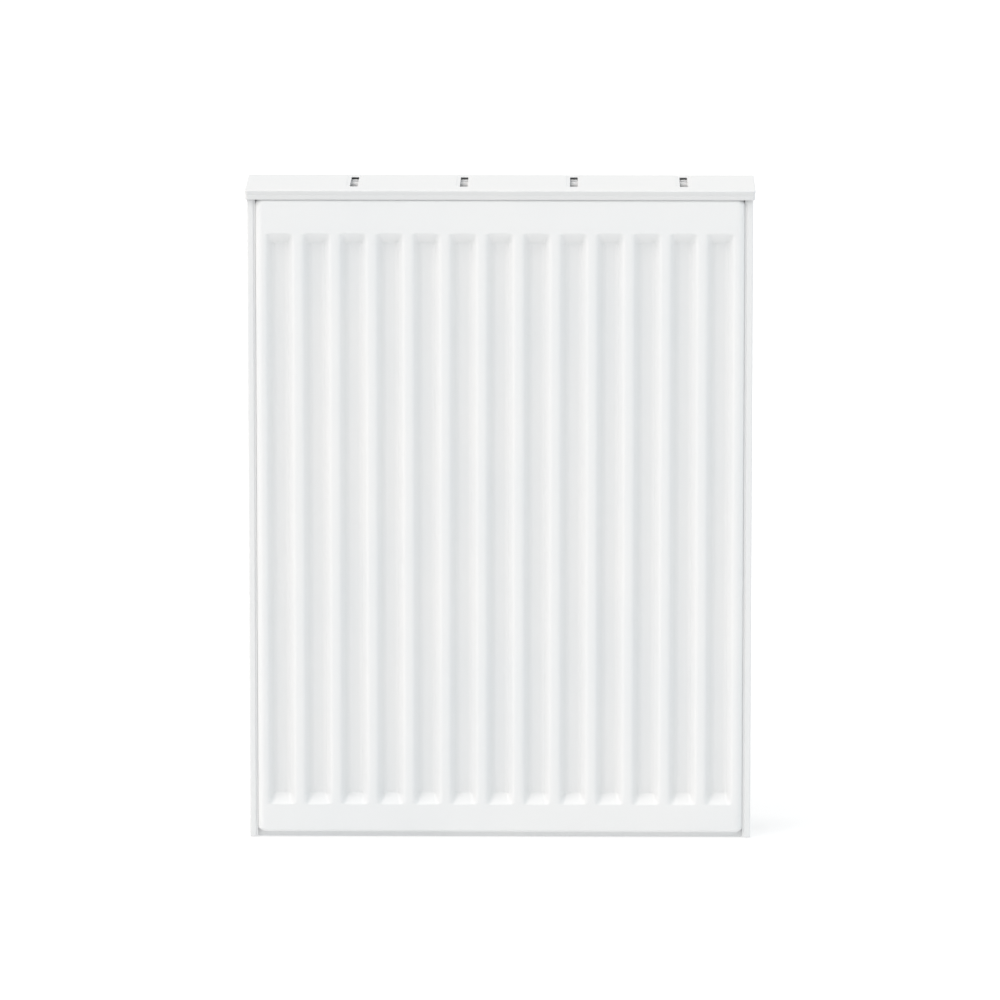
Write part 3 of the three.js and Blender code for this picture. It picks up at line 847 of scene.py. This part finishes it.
def tee(level, name, side):
    """A welded tee: a water tube between the panels and a threaded socket at its side."""
    node = f"{level}_{name}_tee"
    low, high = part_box(node)
    tube_x = low.x + TEE_RADIUS if side > 0 else high.x - TEE_RADIUS
    centre = Vector((tube_x, (low.y + high.y) / 2, (low.z + high.z) / 2))
    half = (high.y - low.y) / 2
    face = abs(high.x if side > 0 else low.x) - abs(tube_x)
    out = (side, 0, 0)
    weld, soft = TEE_WELD, SOCKET_EDGE
    tube, socket, water, bore = (bmesh.new() for _ in range(4))
    ends = [(-half, TEE_RADIUS + weld), (-half + weld / 3, TEE_RADIUS + weld / 2), (-half + weld, TEE_RADIUS)]
    turned(tube, [(-half, 0), *ends, *[(-a, r) for a, r in reversed(ends)], (half, 0)], centre, (0, 1, 0))
    turned(socket, [(0, 0), (0, SOCKET_RADIUS), (face - soft, SOCKET_RADIUS), (face, SOCKET_RADIUS - soft),
                    (face, 0)], centre, out)
    turned(water, [(-half - weld, 0), (-half - weld, TEE_BORE), (half + weld, TEE_BORE), (half + weld, 0)],
           centre, (0, 1, 0))
    mouth = SOCKET_BORE + LEAD_GROWTH
    cuts = [(s, SOCKET_BORE) for s in arc(TEE_RADIUS, face - THREAD_STOP, THREAD_STEPS)]
    turned(bore, [(0, 0), (0, TEE_BORE), (TEE_RADIUS - soft, TEE_BORE), *cuts,
                  (face - LEAD_DEPTH, mouth - LEAD_STEP), (face + soft, mouth + soft), (face + soft, 0)],
           centre, out, sides=72, radius_at=thread)
    bm = combine(tube, ("UNION", socket), ("DIFFERENCE", water), ("DIFFERENCE", bore))
    finished(node + "_socket", bm, ENAMEL, ROOT, "white_enamel", node)


def socket_face(name, side):
    """Centre of an upper socket's face."""
    low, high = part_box(f"upper_{name}_tee")
    return Vector((high.x if side > 0 else low.x, (low.y + high.y) / 2, (low.z + high.z) / 2))


def beside(face, side):
    """Places in front of a socket's face: y and z from its centre and the distance along its axis."""
    def put(y, z, along):
        return face + Vector((side * along, y, z))
    return put


def hex_head(face, side, start, end):
    """A hexagon flange whose corners are turned off to a chamfer."""
    head, turning = bmesh.new(), bmesh.new()
    prism(head, regular(6, HEX_FLATS), beside(face, side), start, end, HEX_CHAMFER)
    corner, soft = HEX_FLATS / 2 / math.cos(math.pi / 6), HEX_TURNING
    turned(turning, [(start - soft, 0), (start - soft, corner - 2 * soft), (start + soft / 2, corner),
                     (end - soft / 2, corner), (end + soft, corner - 2 * soft), (end + soft, 0)],
           face, (side, 0, 0))
    return combine(head, ("INTERSECT", turning))


def plug_seal(node, face, side):
    """A flat rubber ring between a socket's face and a plug's hexagon."""
    low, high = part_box(node)
    start, end = sorted((abs(low.x) - abs(face.x), abs(high.x) - abs(face.x)))
    outer = (high.z - low.z) / 2
    inner = SPIGOT_RADIUS + FIT_GAP
    section = [(start, inner), (start, outer), (end, outer), (end, inner)]
    bm = bmesh.new()
    ring = [(p.x, p.y) for p in round_corners(section, SEAL_BEND, closed=True)]
    turned(bm, ring, face, (side, 0, 0))
    finished(node + "_ring", bm, RUBBER, ROOT, "seal_rubber", node)


def vent_plug(face, side):
    """Body of the air vent: spigot, hexagon flange and the boss that holds the screw."""
    _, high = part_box("vent_plug_body")
    _, seal_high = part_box("vent_plug_seal")
    collar_low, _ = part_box("vent_collar")
    start = seal_high.x - face.x + FIT_GAP
    end = collar_low.x - face.x - FIT_GAP
    boss = high.x - face.x
    soft = PLUG_EDGE
    core, room = bmesh.new(), bmesh.new()
    turned(core, [(-SPIGOT, 0), (-SPIGOT, SPIGOT_RADIUS), (end - soft, SPIGOT_RADIUS),
                  (end, SPIGOT_RADIUS - soft), (end, BOSS_RADIUS), (boss - soft, BOSS_RADIUS),
                  (boss, BOSS_RADIUS - soft), (boss, 0)], face, (side, 0, 0))
    turned(room, [(SQUARE_ROOM_FLOOR, 0), (SQUARE_ROOM_FLOOR, SQUARE_ROOM), (boss - soft, SQUARE_ROOM),
                  (boss + soft, SQUARE_ROOM + soft), (boss + soft, 0)], face, (side, 0, 0))
    bm = combine(hex_head(face, side, start, end), ("UNION", core), ("DIFFERENCE", room))
    finished("vent_plug_turned", bm, NICKEL, ROOT, "nickel_plate", "vent_plug_body")


def vent_collar(face, side):
    """The loose plastic ring with the spout that points the water away."""
    low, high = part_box("vent_collar")
    start, end = low.x - face.x, high.x - face.x
    outer = high.z - face.z
    inner = BOSS_RADIUS + FIT_GAP
    bm = bmesh.new()
    section = [(start, inner), (start, outer), (end, outer), (end, inner)]
    ring = [(p.x, p.y) for p in round_corners(section, COLLAR_BEND, closed=True)]
    turned(bm, ring, face, (side, 0, 0))
    reach = face.z - low.z
    root = inner + SPOUT_ROOT
    hollow = SPOUT_RADIUS - SPOUT_WALL
    spout = [(root, 0), (root, SPOUT_RADIUS * SPOUT_SWELL), (reach - SPOUT_TAPER, SPOUT_RADIUS),
             (reach, SPOUT_RADIUS - SPOUT_EDGE), (reach, hollow),
             (reach - SPOUT_HOLLOW, hollow), (reach - SPOUT_HOLLOW, 0)]
    turned(bm, spout, face + Vector((side * (start + end) / 2, 0, 0)), (0, 0, -1), sides=32)
    first, last = start + RIB_INSET, end - RIB_INSET
    for i in range(RIBS):
        turn = 2 * math.pi * (i + 0.5) / RIBS
        way = Vector((0, math.cos(turn), math.sin(turn)))
        if way.z < -SPOUT_ROOM:
            continue
        rib = face + way * (outer - RIB_SINK)
        turned(bm, [(first, 0), (first, RIB_RADIUS), (last, RIB_RADIUS), (last, 0)],
               rib, (side, 0, 0), sides=10)
    finished("vent_collar_ring", bm, PLASTIC, COLLAR, "white_plastic", "vent_collar")


def bleed_screw(face, side):
    """A square that a bleed key turns, on a round shank with a tapered tip."""
    low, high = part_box("bleed_screw")
    tip, end = low.x - face.x, high.x - face.x
    bm = bmesh.new()
    square = round_corners(regular(4, SCREW_FLATS), SCREW_BEND, closed=True)
    prism(bm, square, beside(face, side), SCREW_ROOT, end, SCREW_CHAMFER)
    shank_end = SCREW_ROOT + SHANK_OVERLAP
    turned(bm, [(tip, 0), (tip, SHANK_RADIUS * SHANK_TIP), (tip + SHANK_TAPER, SHANK_RADIUS),
                (shank_end, SHANK_RADIUS), (shank_end, 0)], face, (side, 0, 0), sides=32)
    finished("bleed_screw_square", bm, NICKEL, SCREW, "nickel_plate", "bleed_screw")


def blanking_plug(face, side):
    """A plug with a hexagon flange and a hexagon key recess."""
    low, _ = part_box("blanking_plug")
    seal_low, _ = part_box("blanking_plug_seal")
    start = abs(seal_low.x - face.x) + FIT_GAP
    end = abs(low.x - face.x)
    core_end = start + PLUG_OVERLAP
    core, key = bmesh.new(), bmesh.new()
    turned(core, [(-SPIGOT, 0), (-SPIGOT, SPIGOT_RADIUS), (core_end, SPIGOT_RADIUS), (core_end, 0)],
           face, (side, 0, 0))
    prism(key, regular(6, KEY_FLATS), beside(face, side), end - KEY_DEPTH, end + KEY_OVERSHOOT, KEY_CHAMFER)
    bm = combine(hex_head(face, side, start, end), ("UNION", core), ("DIFFERENCE", key))
    finished("blanking_plug_turned", bm, NICKEL, ROOT, "nickel_plate", "blanking_plug")


# ---------------------------------------------------------------- floor, light and camera

def floor():
    """A wide pale floor under the radiator's lower edges."""
    mesh = bpy.data.meshes.new("floor")
    corners = [(-1, -1), (1, -1), (1, 1), (-1, 1)]
    mesh.from_pydata([(x * FLOOR_REACH, y * FLOOR_REACH, cad_low.z) for x, y in corners], [], [(0, 1, 2, 3)])
    sheet = bpy.data.objects.new("floor", mesh)
    bpy.context.scene.collection.objects.link(sheet)
    material, tree, shader, place = node_material("pale_floor")
    tint(tree, shader, noise(tree, place, FLOOR_CLOUDS), *FLOOR_TONES)
    shader.inputs["Emission Color"].default_value = (1, 1, 1, 1)
    shader.inputs["Emission Strength"].default_value = FLOOR_GLOW
    shader.inputs["Roughness"].default_value = FLOOR_ROUGHNESS
    shader.inputs["Specular IOR Level"].default_value = FLOOR_SPECULAR
    mesh.materials.append(material)


def math_node(tree, operation, first, second):
    """The result of a calculation on numbers or sockets."""
    node = tree.nodes.new("ShaderNodeMath")
    node.operation = operation
    for socket, value in zip(node.inputs, (first, second)):
        if isinstance(value, (int, float)):
            socket.default_value = value
        else:
            tree.links.new(value, socket)
    return node.outputs[0]


def soft_box(tree, ray, direction, power, strength):
    """A round patch of light, or of less light, that fades away from its direction."""
    dot = tree.nodes.new("ShaderNodeVectorMath")
    dot.operation = "DOT_PRODUCT"
    dot.inputs[1].default_value = Vector(direction).normalized()
    tree.links.new(ray, dot.inputs[0])
    facing = math_node(tree, "MAXIMUM", dot.outputs["Value"], 0)
    return math_node(tree, "MULTIPLY", math_node(tree, "POWER", facing, power), strength)


def horizon(tree, ray, power, strength):
    """A thin even band of light around the horizon."""
    split = tree.nodes.new("ShaderNodeSeparateXYZ")
    tree.links.new(ray, split.inputs["Vector"])
    height = math_node(tree, "ABSOLUTE", split.outputs["Z"], 0)
    level = math_node(tree, "POWER", math_node(tree, "SUBTRACT", 1, height), power)
    return math_node(tree, "MULTIPLY", level, strength)


def soft_light():
    """A large warm soft box at the upper left, weaker ones behind, and cool fill light, least at the left."""
    world = bpy.data.worlds.new("studio")
    bpy.context.scene.world = world
    world.use_nodes = True
    tree = world.node_tree
    ray = tree.nodes.new("ShaderNodeTexCoord").outputs["Generated"]
    cool, warm = tree.nodes["Background"], tree.nodes.new("ShaderNodeBackground")
    cool.inputs["Color"].default_value = FILL_COLOUR
    warm.inputs["Color"].default_value = WARM_COLOUR
    level = math_node(tree, "ADD", horizon(tree, ray, *HORIZON), FILL_LEVEL)
    for box in FILL_BOXES:
        level = math_node(tree, "ADD", level, soft_box(tree, ray, *box))
    tree.links.new(level, cool.inputs["Strength"])
    level = soft_box(tree, ray, *WARM_BOXES[0])
    for box in WARM_BOXES[1:]:
        level = math_node(tree, "ADD", level, soft_box(tree, ray, *box))
    tree.links.new(level, warm.inputs["Strength"])
    both = tree.nodes.new("ShaderNodeAddShader")
    tree.links.new(cool.outputs[0], both.inputs[0])
    tree.links.new(warm.outputs[0], both.inputs[1])
    tree.links.new(both.outputs[0], tree.nodes["World Output"].inputs["Surface"])


def camera():
    """Almost straight from the front and slightly from above, aimed just above the middle of the front."""
    data = bpy.data.cameras.new("camera")
    cam = bpy.data.objects.new("camera", data)
    bpy.context.scene.collection.objects.link(cam)
    data.sensor_width = SENSOR
    data.lens = data.sensor_width * DISTANCE / VIEW_WIDTH
    data.clip_end = CLIP_END
    aim = Vector((0, cad_low.y, (cad_low.z + cad_high.z) / 2 + AIM_RAISE))
    level = math.cos(ELEVATION)
    back = Vector((math.sin(AZIMUTH) * level, -math.cos(AZIMUTH) * level, math.sin(ELEVATION)))
    cam.location = aim + back * DISTANCE
    cam.rotation_mode = "QUATERNION"
    cam.rotation_quaternion = (-back).to_track_quat("-Z", "Y")
    bpy.context.scene.camera = cam


water_panels()
top_grille()
for panel_name in PANELS:
    convector(panel_name)
clips()
for side_name, side_sign in SIDES.items():
    side_panel(side_name, side_sign)
    for level_name, level_sign in LEVELS.items():
        tee(level_name, side_name, side_sign)
        hanging_lug(f"{level_name}_{side_name}_lug", level_sign)
vent_face, blank_face = socket_face("right", 1), socket_face("left", -1)
plug_seal("vent_plug_seal", vent_face, 1)
vent_plug(vent_face, 1)
vent_collar(vent_face, 1)
bleed_screw(vent_face, 1)
plug_seal("blanking_plug_seal", blank_face, -1)
blanking_plug(blank_face, -1)
floor()
soft_light()
camera()
bpy.context.scene.view_settings.view_transform = "Standard"
